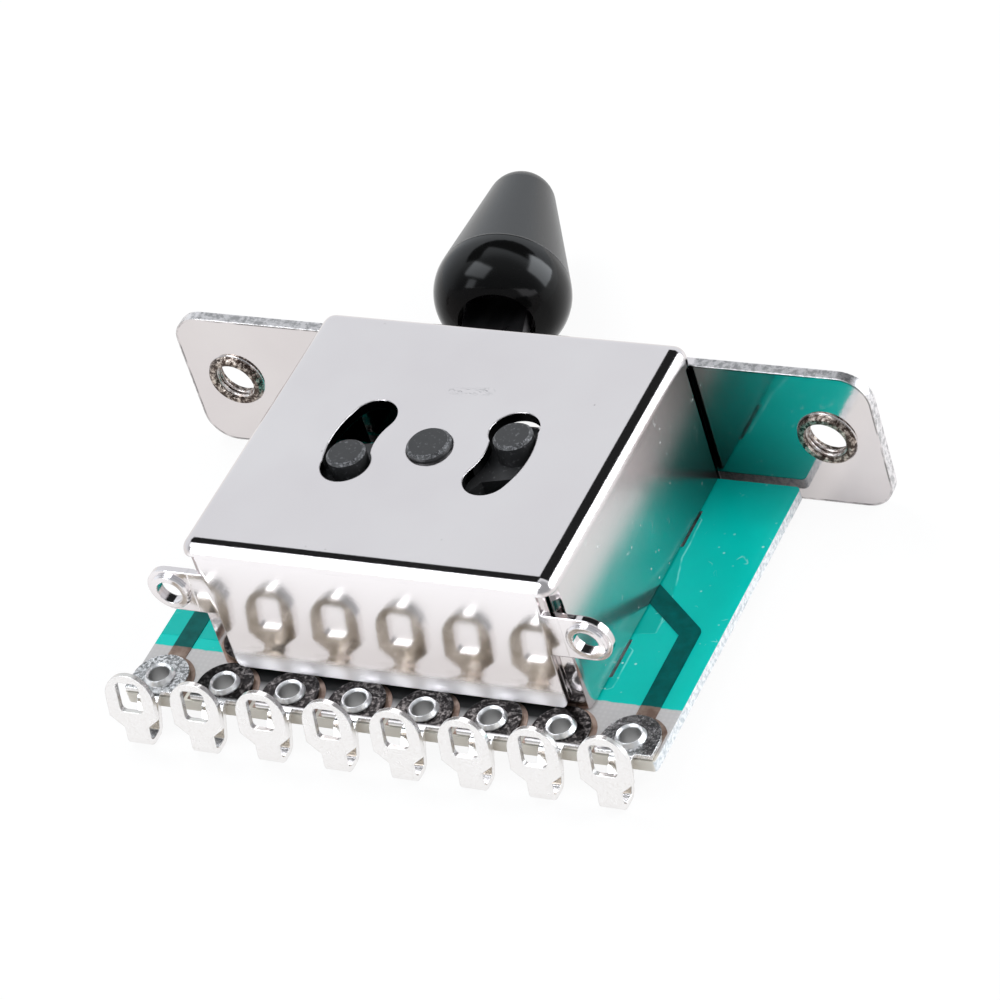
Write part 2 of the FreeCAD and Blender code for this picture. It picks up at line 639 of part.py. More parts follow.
def make_rotor():
    """Moulded carrier around the blade: pivot pin, two pegs, foot pin and the nose for the detent."""
    up = Vector(0, 0, 1)
    body = rod(HUB_R, PIVOT + up * ROTOR_BOTTOM, PIVOT + up * ROTOR_TOP)
    body = body.fuse(box(-PEG_RADIUS_OUT, PEG_RADIUS_OUT, PIVOT_Y - ARM_R, PIVOT_Y + ARM_R,
                         ROTOR_BOTTOM, ROTOR_TOP))
    for degrees in (0, 180):
        centre = polar(PEG_RADIUS_OUT, degrees)
        body = body.fuse(rod(ARM_R, centre + up * ROTOR_BOTTOM, centre + up * ROTOR_TOP))
    body = body.fuse(box(-NOSE_WIDTH / 2, NOSE_WIDTH / 2, PIVOT_Y - NOSE_REACH, PIVOT_Y,
                         -NOSE_HEIGHT / 2, NOSE_HEIGHT / 2))
    jaw_half, jaw_rise = LEVER_WIDTH / 2 + JAW_WALL, LEVER_THICKNESS / 2 + JAW_LIP
    jaw = box(-jaw_half, jaw_half, PIVOT_Y, PIVOT_Y + HUB_R + JAW_REACH, -jaw_rise, jaw_rise)
    body = body.fuse(jaw)
    pins = [(PIVOT, PIVOT_PIN_R, FACE_HEIGHT + PIN_STICKOUT)]
    pins += [(polar(PEG_RADIUS_OUT, degrees), PEG_R, FACE_HEIGHT + PEG_STICKOUT) for degrees in (0, 180)]
    for centre, radius, height in pins:
        pin = chamfer_where(rod(radius, centre, centre + up * height), PIN_EDGE,
                            lambda edge: edge.Vertexes[0].Z > height - PIN_EDGE)
        body = body.fuse(pin)
    body = body.fuse(rod(FOOT_PIN_R, PIVOT + up * BOARD_BOTTOM, PIVOT))
    body = body.cut(rod(BORE_R, PIVOT - Vector(0, SPRING_SEAT, 0), PIVOT - Vector(0, NOSE_REACH + 1, 0)))
    return at_rest(body.cut(lever_blank()).removeSplitter())


def make_wiper(side):
    """Contact spring: a plate under the rotor's arm with two fingers that run on the tracks."""
    top = ROTOR_BOTTOM - WIPER_SHEET / 2
    touch = BOARD_TOP + COPPER + WIPER_GAP + WIPER_SHEET / 2
    middle = (COMMON_TRACK[0] + THROW_TRACK[1]) / 2
    y = PIVOT_Y
    path = [(y + ARM_R - 0.3, top), (y - 0.6, top), (y - WIPER_REACH, touch),
            (y - WIPER_REACH - 0.9, touch + 0.4)]
    spring = bent_strip(path, 0.4, WIPER_SHEET, middle - WIPER_WIDTH / 2, middle + WIPER_WIDTH / 2)
    split = box(middle - WIPER_SPLIT / 2, middle + WIPER_SPLIT / 2, y - WIPER_REACH - 3, y - 0.8,
                BOARD_TOP, ROTOR_BOTTOM + 1)
    spring = spring.cut(split)
    if side < 0:
        spring.rotate(PIVOT, Vector(0, 0, 1), 180)
    return at_rest(spring)


def make_ball():
    """Detent ball, half out of the rotor's nose."""
    return at_rest(Part.makeSphere(BALL_R, PIVOT - Vector(0, BALL_CENTRE, 0)))


def make_spring():
    """Compression spring behind the ball, with a square wire."""
    half = SPRING_WIRE / 2
    mean_r = BORE_R - SPRING_PLAY - half
    reach = math.sqrt((BALL_R + SPRING_PLAY) ** 2 - (mean_r - half) ** 2)
    start, end = SPRING_SEAT + half, BALL_CENTRE - reach - half
    length = end - start
    helix = Part.makeHelix(length / SPRING_TURNS, length, mean_r)
    square = ((-half, -half), (half, -half), (half, half), (-half, half), (-half, -half))
    section = Part.makePolygon([Vector(mean_r + x, 0, z) for x, z in square])
    coil = Part.Wire(helix).makePipeShell([section], True, True)
    coil.Placement = Placement(PIVOT - Vector(0, start, 0), UPRIGHT)
    return at_rest(coil)


def detent_pin_y():
    """Row of the two pins that locate the detent block."""
    return WALL_INSIDE + DETENT_PIN_R + DETENT_PIN_INSET


def make_detent_block():
    """Block against the front wall whose curved inner side has one notch for each lever position."""
    foot, top = COPPER_TOP, DETENT_HEIGHT

    def column(radius, x, y):
        return rod(radius, Vector(x, y, BOARD_BOTTOM), Vector(x, y, top + SHEET))

    horns = PIVOT_Y - DETENT_RADIUS + DETENT_HORNS
    block = box(-DETENT_WIDTH / 2, DETENT_WIDTH / 2, WALL_INSIDE, horns, foot, top)
    block = block.cut(column(DETENT_RADIUS - NOTCH_DEPTH, 0, PIVOT_Y))
    notch_r = BALL_R + NOTCH_PLAY
    for k in range(DETENT_COUNT):
        centre = polar(DETENT_RADIUS - notch_r, -90 - REST_ANGLE + DETENT_STEP * k)
        block = block.cut(column(notch_r, centre.x, centre.y))
    for side in (1, -1):
        below = Vector(side * DETENT_PIN_X, detent_pin_y(), BOARD_BOTTOM)
        block = block.fuse(rod(DETENT_PIN_R, below, below + Vector(0, 0, foot - BOARD_BOTTOM)))
    return block.removeSplitter()


def main():
    """Write one STEP file for each piece."""
    pieces = {
        "housing": make_housing(),
        "circuit_board": make_board(),
        "copper_nets_left": make_nets(-1),
        "copper_nets_right": make_nets(1),
        "lug_rivets": make_rivets(),
        "rotor": make_rotor(),
        "lever": make_lever(),
        "lever_tip": make_tip(),
        "wiper_left": make_wiper(-1),
        "wiper_right": make_wiper(1),
        "detent_ball": make_ball(),
        "detent_spring": make_spring(),
        "detent_block": make_detent_block(),
    }
    for number in range(1, LUG_COUNT + 1):
        pieces[f"solder_lug_{number}"] = make_lug(number)
    os.makedirs("parts", exist_ok=True)
    for name, shape in pieces.items():
        shape.exportStep(f"parts/{name}.step")
        print(name, len(shape.Solids), "solids", round(shape.Volume, 3), "mm3", shape.isValid())


main()
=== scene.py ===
import math

import bpy
from mathutils import Matrix, Vector


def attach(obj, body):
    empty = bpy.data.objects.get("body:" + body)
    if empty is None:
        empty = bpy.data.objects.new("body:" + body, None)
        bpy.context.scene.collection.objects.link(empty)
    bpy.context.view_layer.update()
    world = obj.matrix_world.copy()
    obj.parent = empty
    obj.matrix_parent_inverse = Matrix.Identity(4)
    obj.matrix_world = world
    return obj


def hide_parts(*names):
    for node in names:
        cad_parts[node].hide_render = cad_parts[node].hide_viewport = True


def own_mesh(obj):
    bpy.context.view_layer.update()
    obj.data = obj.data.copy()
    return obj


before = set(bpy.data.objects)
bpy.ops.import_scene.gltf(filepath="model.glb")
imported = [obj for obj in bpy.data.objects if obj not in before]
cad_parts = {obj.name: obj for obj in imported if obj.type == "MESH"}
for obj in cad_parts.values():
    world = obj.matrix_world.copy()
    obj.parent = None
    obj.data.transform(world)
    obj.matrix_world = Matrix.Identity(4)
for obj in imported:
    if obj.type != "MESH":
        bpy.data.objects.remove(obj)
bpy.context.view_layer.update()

# Row frame sizes in millimetres, the same as in the part's source.
MM = 0.001
SHEET = 0.7
PLATE_HALF = 24.15
PLATE_TOP, PLATE_BOTTOM = 4.9, -5.4
PLATE_CORNER_R = 2.0
SCREW_X = 20.65
SCREW_BORE_R = 1.4
COLLAR_R = 1.85
COLLAR_LENGTH = 0.4
PIVOT = Vector((0.0, -11.34, 0.0))
BOARD_TOP = -4.1
BOARD_FRONT = -24.9
LUG_COUNT = 8
LUG_PITCH = 4.59
LUG_ROW_Y = -23.55
RIVET_BORE_R = 0.66
LEVER_AXIS = Vector((-0.27564, 0.96126, 0.0))
TIP_START_AT = 18.6
TIP_RIDGE_AT = 22.25

# The housing's outer and inner faces: its sides along x, its front along y and its big face along z.
SIDE_OUT = 12.55
SIDE_IN = SIDE_OUT - SHEET
FRONT_OUT = -21.9
FRONT_IN = FRONT_OUT + SHEET
FACE_OUT = 6.25
FACE_IN = FACE_OUT - SHEET
PLATE_IN = -SHEET

# The thread in a screw collar, in millimetres, with the steps in one turn and in each fading end.
THREAD_PITCH = 0.5
THREAD_HEIGHT = 0.16
THREAD_HALF = THREAD_PITCH * 0.36
THREAD_CREST_HALF = THREAD_HALF * 0.2
THREAD_MARGIN = 0.02
THREAD_START = THREAD_MARGIN + THREAD_PITCH * 0.3
THREAD_STEPS = 40
THREAD_FADE_STEPS = 8

# Places read off the photograph, in millimetres.
MASK_EDGE_Y = -20.6
SCUFF_AT = (0.5, -6.2, 0.0)

# The walls' normals lean a little, so that what they mirror falls where the photograph shows it.
FRONT_FOOT_Z, FRONT_TUCK_Z, FRONT_HEAD_Z = -3.7, -1.8, 4.9
FRONT_LEAN = (0.19, 0.04)
FRONT_TUCK = 0.24
FRONT_TWIST = (0.03, -0.10)
SIDE_LEAN = 0.055

# Floor: the two lines that it runs through, as (y, z) in millimetres, and where its mirror image dims.
FLOOR_FRONT = (-26.9, -5.91)
FLOOR_REAR = (-0.35, -5.41)
FLOOR_HALF = 900.0
FLOOR_GLOW = 1.0
FLOOR_GLOW_SHARE = 0.92
SHADE_X = (18.5, 20.5)
SHADE_Y = (-20.0, 6.0)
SHADE_DEPTH = 0.7

# Studio: light levels, and directions that the dark parts lie in, with the spans over which they fade.
WORLD_LEVEL = 0.70
ROOM_FRONT = Vector((0.25, -0.85, 0.45)).normalized()
ROOM_FRONT_EDGE = (0.15, 0.55)
ROOM_FRONT_LEVEL = 0.45
OVERHEAD = Vector((0.25, 0.0, 0.968))
OVERHEAD_EDGE = (0.535, 0.555)
OVERHEAD_DEPTH = 0.98

# The dark overhead begins at this y of a direction, which changes with its x.
OVERHEAD_BEGIN_X = (-0.40, -0.30)
OVERHEAD_BEGIN_Y = (-0.12, 0.40)
OVERHEAD_BEGIN_EDGE = (0.0, 0.06)

# Softboxes: the direction of each one's middle, that of its first side, and its half sides.
SOFTBOX_LEVEL = 5.5
SOFTBOX_AHEAD = (0.2, 0.25)
SOFTBOX_EDGE = (-0.05, 0.03)
SOFTBOXES = (
    ((-0.30, -0.46, 0.835), (0.58, -0.30, 0.03), (0.33, 0.26)),
    ((-0.45, -0.86, 0.24), (0.89, -0.45, 0.0), (0.13, 0.46)),
    ((0.88, 0.42, 0.29), (0.31, 0.07, -0.95), (0.42, 0.40)),
)

# Lamps: name, place and size in millimetres, and power in watts.
LAMPS = (
    ("key", (-160, 90, 260), (160, 120), 0.55),
    ("fill", (220, 60, 200), (140, 140), 0.35),
)

# Camera fitted to the photograph, in millimetres, and the middle that it and the lamps look at.
MIDDLE = Vector((0.0, -12.0, 0.0))
CAMERA_RIGHT = Vector((0.8863, 0.3933, -0.2445)).normalized()
CAMERA_UP = Vector((-0.0966, 0.6734, 0.7330)).normalized()
CAMERA_BACK = Vector((0.4529, -0.6260, 0.6348)).normalized()
CAMERA_OFFSET = (2.964, 1.841, 315.5)
CAMERA_CLIP = (10.0, 10000.0)
FOCAL_PX = 5187.2
PHOTO_PX = 1000
SENSOR = 36.0


# Shader helpers

class Nodes:
    """A node tree with short ways to add nodes and link them."""

    def __init__(self, tree):
        self.tree = tree
        self.tree.nodes.clear()

    def add(self, kind, **attributes):
        """New node of a kind."""
        made = self.tree.nodes.new(kind)
        for key, value in attributes.items():
            setattr(made, key, value)
        return made

    def link(self, source, target):
        """Lead an output into an input, or set the input to a constant."""
        if isinstance(source, (int, float, tuple, Vector)):
            target.default_value = source
        else:
            self.tree.links.new(source, target)

    def span(self, value, low, high, to_low=0.0, to_high=1.0, smooth=False):
        """Value mapped from one span to another and clamped."""
        made = self.add("ShaderNodeMapRange", interpolation_type="SMOOTHSTEP" if smooth else "LINEAR")
        for key, number in zip(("From Min", "From Max", "To Min", "To Max"), (low, high, to_low, to_high)):
            made.inputs[key].default_value = number
        self.link(value, made.inputs["Value"])
        return made.outputs[0]

    def ramp(self, value, low, high, to_low=0.0, to_high=1.0, smooth=False):
        """Span of a length, with its ends in millimetres."""
        return self.span(value, low * MM, high * MM, to_low, to_high, smooth)

    def between(self, amount, start, end):
        """Number that goes from start to end as the amount goes from nothing to one."""
        return self.span(amount, 0.0, 1.0, start, end)

    def calc(self, operation, a, b=0.0):
        """One step of arithmetic."""
        made = self.add("ShaderNodeMath", operation=operation)
        self.link(a, made.inputs[0])
        self.link(b, made.inputs[1])
        return made.outputs[0]

    def times(self, product, *values):
        """Product of two or more values."""
        for value in values:
            product = self.calc("MULTIPLY", product, value)
        return product

    def hypot(self, a, b):
        """Length of the diagonal over two sides."""
        return self.calc("SQRT", self.calc("ADD", self.times(a, a), self.times(b, b)))

    def band(self, value, full, none, centre=0.0, peak=1.0, smooth=False):
        """Peak within one distance of a centre, fading to nothing at another."""
        off = self.calc("ABSOLUTE", self.calc("SUBTRACT", value, centre))
        return self.span(off, full, none, peak, 0.0, smooth)

    def dot(self, vector, axis):
        """How far a vector goes along an axis."""
        made = self.add("ShaderNodeVectorMath", operation="DOT_PRODUCT")
        self.link(vector, made.inputs[0])
        self.link(Vector(axis), made.inputs[1])
        return made.outputs["Value"]

    def blend(self, amount, a, b):
        """Colour a where the amount is nothing, and b where it is one."""
        made = self.add("ShaderNodeMix", data_type="RGBA")
        self.link(amount, made.inputs[0])
        self.link(a, made.inputs[6])
        self.link(b, made.inputs[7])
        return made.outputs[2]

    def choose(self, amount, a, b):
        """Number a where the amount is nothing, and b where it is one; both may be outputs."""
        made = self.add("ShaderNodeMix", data_type="FLOAT")
        self.link(amount, made.inputs[0])
        self.link(a, made.inputs[2])
        self.link(b, made.inputs[3])
        return made.outputs[0]


class Shader(Nodes):
    """A material with one Principled shader, textured in the row's frame."""

    def __init__(self, name, **constants):
        self.material = bpy.data.materials.new(name)
        self.material.use_nodes = True
        super().__init__(self.material.node_tree)
        self.output = self.add("ShaderNodeOutputMaterial")
        self.bsdf = self.add("ShaderNodeBsdfPrincipled")
        self.link(self.bsdf.outputs[0], self.output.inputs["Surface"])
        self.coords = self.add("ShaderNodeTexCoord").outputs["Object"]
        self.axes = {}
        self.base_normal = None
        for socket, value in constants.items():
            self.bsdf.inputs[socket.replace("_", " ")].default_value = value

    def feed(self, socket, source):
        """Lead an output into the shader."""
        self.link(source, self.bsdf.inputs[socket])

    def split(self, vector):
        """The x, y and z of a vector."""
        made = self.add("ShaderNodeSeparateXYZ")
        self.link(vector, made.inputs[0])
        return made.outputs

    def axis(self, name):
        """Object coordinate x, y or z in metres, or wide, which is x without its sign."""
        if not self.axes:
            self.axes = dict(zip("xyz", self.split(self.coords)))
            self.axes["wide"] = self.calc("ABSOLUTE", self.axes["x"])
        return self.axes[name]

    def region(self, limits):
        """Product of ramps, each from (axis, where it is nothing, where it is full) in millimetres."""
        return self.times(*[self.ramp(self.axis(name), nothing, full) for name, nothing, full in limits])

    def along(self, axis, origin):
        """Distance in millimetres along an axis from a point."""
        axis = Vector(axis).normalized()
        return self.calc("SUBTRACT", self.dot(self.coords, axis / MM), axis.dot(Vector(origin)))

    def facing(self, name):
        """How much the surface faces along x, y or z."""
        return self.split(self.add("ShaderNodeNewGeometry").outputs["Normal"])["xyz".index(name)]

    def stretch(self, scale, turn):
        """Object coordinates scaled, and turned by degrees around z."""
        mapping = self.add("ShaderNodeMapping")
        mapping.inputs["Scale"].default_value = scale
        mapping.inputs["Rotation"].default_value = (0.0, 0.0, math.radians(turn))
        self.link(self.coords, mapping.inputs["Vector"])
        return mapping.outputs[0]

    def noise(self, scale, detail=2.0, rough=0.5, distortion=0.0, vector=None):
        """Smooth noise around one half; the scale is in features per metre."""
        made = self.add("ShaderNodeTexNoise")
        made.inputs["Scale"].default_value = scale
        made.inputs["Detail"].default_value = detail
        made.inputs["Roughness"].default_value = rough
        made.inputs["Distortion"].default_value = distortion
        self.link(self.coords if vector is None else vector, made.inputs["Vector"])
        return made.outputs["Fac"]

    def wander(self, scale, rough, reach):
        """Noise that strays up to a reach in millimetres to both sides of nothing."""
        return self.between(self.noise(scale, 2.0, rough), -reach * MM, reach * MM)

    def cells(self, scale):
        """Distance to the nearest of scattered points, as a share of their spacing."""
        made = self.add("ShaderNodeTexVoronoi", feature="F1")
        made.inputs["Scale"].default_value = scale
        self.link(self.coords, made.inputs["Vector"])
        return made.outputs["Distance"]

    def wave(self, scale, distortion, direction):
        """Even waves along an axis, from nothing to one."""
        made = self.add("ShaderNodeTexWave", bands_direction=direction)
        made.inputs["Scale"].default_value = scale
        made.inputs["Distortion"].default_value = distortion
        self.link(self.coords, made.inputs["Vector"])
        return made.outputs["Fac"]

    def ring(self, radius, blur):
        """One inside a radius around the screw holes' axes, in millimetres."""
        off = self.calc("SUBTRACT", self.axis("wide"), SCREW_X * MM)
        return self.ramp(self.hypot(off, self.axis("z")), radius + blur, radius - blur)

    def soften(self, radius):
        """Round the sharp edges in the shading alone, as a rolled or plated edge looks."""
        made = self.add("ShaderNodeBevel", samples=4)
        made.inputs["Radius"].default_value = radius * MM
        self.base_normal = made.outputs[0]

    def bumps(self, *layers):
        """Bump from (height, strength, distance in mm) layers, chained."""
        normal = self.base_normal
        for height, strength, distance in layers:
            made = self.add("ShaderNodeBump")
            made.inputs["Strength"].default_value = strength
            made.inputs["Distance"].default_value = distance * MM
            self.link(height, made.inputs["Height"])
            if normal is not None:
                self.link(normal, made.inputs["Normal"])
            normal = made.outputs[0]
        self.feed("Normal", normal)


def rgb(red, green, blue):
    """Opaque colour for a node."""
    return (red, green, blue, 1.0)


def dress(material, *nodes):
    """Put a material on every slot of CAD nodes."""
    for name in nodes:
        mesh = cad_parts[name]
        if not mesh.material_slots:
            mesh.data.materials.append(material)
        for slot in mesh.material_slots:
            slot.material = material


# Colours, as a pair where a texture runs from the first to the second

NICKEL = rgb(0.69, 0.645, 0.645), rgb(0.73, 0.69, 0.685)
# Near white laid on the front wall as painted light.
NICKEL_PAINTED_LIGHT = rgb(0.95, 0.92, 0.935)
NICKEL_DUST = rgb(0.85, 0.9, 0.88)
NICKEL_PIT = rgb(0.32, 0.29, 0.28)
NICKEL_SCUFF = rgb(0.30, 0.29, 0.29)
CORNER_SHADE = rgb(0.12, 0.13, 0.125)
INSIDE_SHADE = rgb(0.08, 0.085, 0.08)
# Sheared steel, darkened near black as painted shade on the walls of the face's openings.
SHEARED_STEEL_SHADE = rgb(0.035, 0.034, 0.034)
# Painted dark reflection along the rounded rim of the ears' cut edge.
EDGE_DARK_REFLECTION = rgb(0.10, 0.10, 0.10)
CUT_STEEL = rgb(0.42, 0.41, 0.41), rgb(0.80, 0.77, 0.77)
RUST = rgb(0.06, 0.042, 0.034), rgb(0.66, 0.57, 0.50)
TORN_STEEL = rgb(0.34, 0.27, 0.24), rgb(0.80, 0.76, 0.74)
TIN = rgb(0.90, 0.885, 0.88), rgb(0.837, 0.8142, 0.8008)
# Brass colour, laid as painted shade on the lug faces that face the wall.
BRASS_BACK_SHADE = rgb(0.34, 0.30, 0.24), rgb(0.62, 0.57, 0.50)
# Near black with pale flecks: the painted dark reflection on the middle lugs' bases.
LUG_BASE_DARK_REFLECTION = rgb(0.006, 0.005, 0.005), rgb(0.13, 0.12, 0.115)
FLUX_CRUST = rgb(0.22, 0.22, 0.22), rgb(0.92, 0.91, 0.91)
RIVET = rgb(0.42, 0.42, 0.42), rgb(0.96, 0.95, 0.95)
SOLDER_MASK = rgb(0.0, 0.50, 0.43), rgb(0.0, 0.56, 0.49)
SOLDER_MASK_DUST = rgb(0.70, 0.92, 0.88)
# Darker teal: the painted shadow of the right side wall, in the shape of a flux film.
FLUX_FILM_SHADOW = rgb(0.0, 0.27, 0.23)
# Pale teal: the painted highlight along that film's edge.
FLUX_RIM_HIGHLIGHT = rgb(0.25, 0.80, 0.74)
LAMINATE = rgb(0.50, 0.485, 0.48), rgb(0.53, 0.515, 0.51)
LAMINATE_LIP = rgb(0.74, 0.70, 0.62)
LAMINATE_SHADE = rgb(0.01, 0.01, 0.01)
LAMINATE_EDGE = rgb(0.92, 0.93, 0.94), rgb(0.58, 0.62, 0.65)
# Pale laminate, lightened as painted light on the board's shaded front edge.
LAMINATE_FRONT_PAINTED_LIGHT = rgb(0.78, 0.73, 0.65)
COPPER_BARE = rgb(0.20, 0.13, 0.10), rgb(0.38, 0.29, 0.24)
# Dark teal of masked copper, darkened as painted shade inside the housing.
COPPER_COVERED_SHADE = rgb(0.0, 0.075, 0.068), rgb(0.0, 0.115, 0.105)
TIP_BLACK = rgb(0.003, 0.003, 0.003), rgb(0.012, 0.012, 0.0125)
# Pale grey for specks, and for the painted highlights on chamfers.
PLASTIC_SPECK_AND_GLINT = rgb(0.20, 0.20, 0.21)
FLOOR_WHITE = rgb(0.9, 0.9, 0.9)
SKY = rgb(0.95, 1.0, 1.05)
WHITE = rgb(1.0, 1.0, 1.0)


# Regions, as limits of (axis, where it is nothing, where it is full) in millimetres. The axis wide is x
# without its sign, so such a limit holds for both sides.

OFF_PLATE = ("y", PLATE_IN - 0.1, PLATE_IN - 0.3)
ON_FRONT = ("y", FRONT_OUT + 0.10, FRONT_OUT + 0.03)
UNDER_FACE = ("z", FACE_IN + 0.05, FACE_IN + 0.02)
BY_FACE = ("z", 5.2, 5.5)
RIGHT_SIDE = ("x", SIDE_OUT - 0.05, SIDE_OUT - 0.01)
RIGHT_WALL = (RIGHT_SIDE, OFF_PLATE)
RIGHT_CORNER = (RIGHT_SIDE, ("x", 21.0, 13.0), ("y", -0.55, -0.65), ("y", -10.0, PLATE_IN))
SIDE_WALLS = (
    ("wide", SIDE_OUT - 0.09, SIDE_OUT - 0.02),
    ("wide", SIDE_OUT + 0.05, SIDE_OUT + 0.03),
    OFF_PLATE,
)
SIDE_BENDS = (("wide", 12.16, 12.32), BY_FACE)
FRONT_BEND = (("y", -21.32, -21.45), BY_FACE)
FRONT_UPPER = (ON_FRONT, ("z", -1.0, 5.2))
FRONT_FOOT = (ON_FRONT, ("z", -2.1, -2.9))
FRONT_MIDDLE = (ON_FRONT, ("z", 5.3, 4.9), ("wide", 11.5, 11.2))
FACE_OPENINGS = (
    ("z", FACE_IN - 0.05, FACE_IN - 0.01),
    ("z", FACE_OUT - 0.04, FACE_OUT - 0.08),
    ("wide", 9.0, 8.8),
    ("y", -18.0, -17.5),
    ("y", -4.5, -5.0),
)
INSIDE_WALLS = (
    ("wide", SIDE_IN + 0.04, SIDE_IN + 0.02),
    ("y", FRONT_IN - 0.03, FRONT_IN - 0.01),
    ("y", PLATE_IN + 0.04, PLATE_IN + 0.01),
    UNDER_FACE,
)
INSIDE_PLATE = (
    ("wide", SIDE_OUT - 0.11, SIDE_OUT - 0.13),
    ("y", PLATE_IN - 0.10, PLATE_IN - 0.02),
    ("y", PLATE_IN + 0.10, PLATE_IN + 0.05),
    UNDER_FACE,
)
EARS = (("wide", SIDE_OUT + 0.15, SIDE_OUT + 0.35), ("y", PLATE_IN - 0.06, PLATE_IN - 0.02))
COLLARS = (("y", PLATE_IN, PLATE_IN - 0.06),)
LUG_BASES = (("z", BOARD_TOP + 0.15, BOARD_TOP + 0.25), ("y", BOARD_FRONT - 0.1, BOARD_FRONT + 0.3))
MIDDLE_LUGS = (("wide", 13.6, 13.3),)
BOARD_UPPER = (("z", BOARD_TOP - 0.06, BOARD_TOP - 0.04),)
BOARD_EDGE = (("y", BOARD_FRONT + 0.08, BOARD_FRONT + 0.02),)
BOARD_LIP = (("y", BOARD_FRONT + 1.0, BOARD_FRONT + 0.5),)
BOARD_BEFORE_WALL = (("y", -23.1, -22.5), ("wide", 12.2, 11.6))
# Where the painted shadow by the right side wall, drawn as a flux film, begins and ends along y.
FLUX_SHADOW_FROM = ("y", -4.4, -4.8)
FLUX_SHADOW_END = ("y", -14.95, -14.6)
FLUX_SHADOW_PATCH = (("y", -15.8, -16.3), ("y", -19.8, -19.4))

# How far the flux film and its painted shadow reach from the wall, rising between two places along y, and
# how far its patch does.
FLUX_SHADOW_REACHES = ((-8.2, -11.1, 0.4, 1.05), (-11.1, -14.5, 0.0, 0.3))
FLUX_SHADOW_PATCH_REACH = 0.5


# Materials

def marks(s):
    """A few short dark scuffs on the face, behind the pivot pin."""
    across = s.band(s.along((1, 0.12, 0), SCUFF_AT), 1.2, 1.7)
    behind = s.band(s.along((-0.12, 1, 0), SCUFF_AT), 0.15, 0.45)
    lines = s.noise(900.0, 3.0, 0.7, 1.5, s.stretch((0.5, 1.6, 1.0), -7))
    return s.times(across, behind, s.band(lines, 0.006, 0.02, 0.5, 0.6))


def hairs(s, where):
    """Pale dust specks and short curled hairlines inside a mask."""
    speck = s.times(s.span(s.cells(1100.0), 0.11, 0.06), s.span(s.noise(260.0), 0.48, 0.54))
    curl = s.band(s.noise(900.0, 1.0, 0.5, 0.8), 0.006, 0.016, 0.5, 0.5)
    curl = s.times(curl, s.span(s.noise(700.0), 0.60, 0.66))
    return s.times(s.calc("MAXIMUM", speck, curl), 0.6, where)


def plate_outline(s):
    """A thin dark line just inside the ears' cut edge, painted as the dark reflection in the edge's rounded
    rim, and that edge itself.
    """
    middle, half = (PLATE_TOP + PLATE_BOTTOM) / 2, (PLATE_TOP - PLATE_BOTTOM) / 2
    up = s.calc("ABSOLUTE", s.calc("SUBTRACT", s.axis("z"), middle * MM))
    past = []
    for place, end in ((s.axis("wide"), PLATE_HALF), (up, half)):
        past.append(s.calc("MAXIMUM", s.calc("SUBTRACT", place, (end - PLATE_CORNER_R) * MM), 0.0))
    short = s.calc("SUBTRACT", PLATE_CORNER_R * MM, s.hypot(*past))
    ears = s.region(EARS)
    broken = s.span(s.noise(700.0, 2.0, 0.6), 0.36, 0.56)
    line = s.band(short, 0.03 * MM, 0.07 * MM, 0.10 * MM)
    return s.times(line, ears, broken), s.times(ears, s.ramp(short, 0.05, 0.02))


def lean_walls(s, sides):
    """Lean the normals of the front and side walls, as FRONT_LEAN and its neighbours say."""
    z = s.axis("z")
    front = s.region(FRONT_MIDDLE)
    bow = s.calc("ADD", s.ramp(z, FRONT_FOOT_Z, FRONT_HEAD_Z, *FRONT_LEAN),
                 s.ramp(z, FRONT_FOOT_Z, FRONT_TUCK_Z, FRONT_TUCK, 0.0))
    twist = s.ramp(z, FRONT_FOOT_Z, FRONT_HEAD_Z, *FRONT_TWIST)
    lean = s.add("ShaderNodeCombineXYZ")
    s.link(s.times(front, twist), lean.inputs[0])
    s.link(s.calc("ADD", s.times(front, bow), s.times(sides, SIDE_LEAN)), lean.inputs[2])
    normal = s.add("ShaderNodeVectorMath", operation="ADD")
    s.link(s.base_normal, normal.inputs[0])
    s.link(lean.outputs[0], normal.inputs[1])
    s.base_normal = normal.outputs[0]


def steel_tint(s, foot, collar, line, cut, dust):
    """Colour of the clouded nickel and of all that lies over it, with the painted shade, painted light and
    painted dark reflection laid on it.
    """
    pits = s.times(s.span(s.cells(900.0), 0.09, 0.0), s.span(s.noise(420.0), 0.62, 0.7))
    layers = (
        (pits, NICKEL_PIT),
        (s.times(s.region(RIGHT_CORNER), 0.7), CORNER_SHADE),
        (collar, s.blend(s.span(s.noise(3000.0, 3.0, 0.75), 0.46, 0.64), *RUST)),
        # Painted shade: the walls of the face's openings made near black.
        (s.region(FACE_OPENINGS), SHEARED_STEEL_SHADE),
        (s.calc("MAXIMUM", s.region(INSIDE_WALLS), s.region(INSIDE_PLATE)), INSIDE_SHADE),
        # Painted light: the front wall's upper part and its foot made near white.
        (s.calc("MAXIMUM", s.region(FRONT_UPPER), s.times(foot, 0.9)), NICKEL_PAINTED_LIGHT),
        # Painted dark reflection: the thin line just inside the ears' cut edge.
        (s.times(line, 0.75), EDGE_DARK_REFLECTION),
        (cut, s.blend(s.span(s.noise(2600.0, 3.0, 0.75), 0.40, 0.56), *CUT_STEEL)),
        (marks(s), NICKEL_SCUFF),
        (dust, NICKEL_DUST),
    )
    tint = s.blend(s.span(s.noise(130.0, 3.0, 0.55), 0.35, 0.7), *NICKEL)
    for amount, color in layers:
        tint = s.blend(amount, tint, color)
    return tint


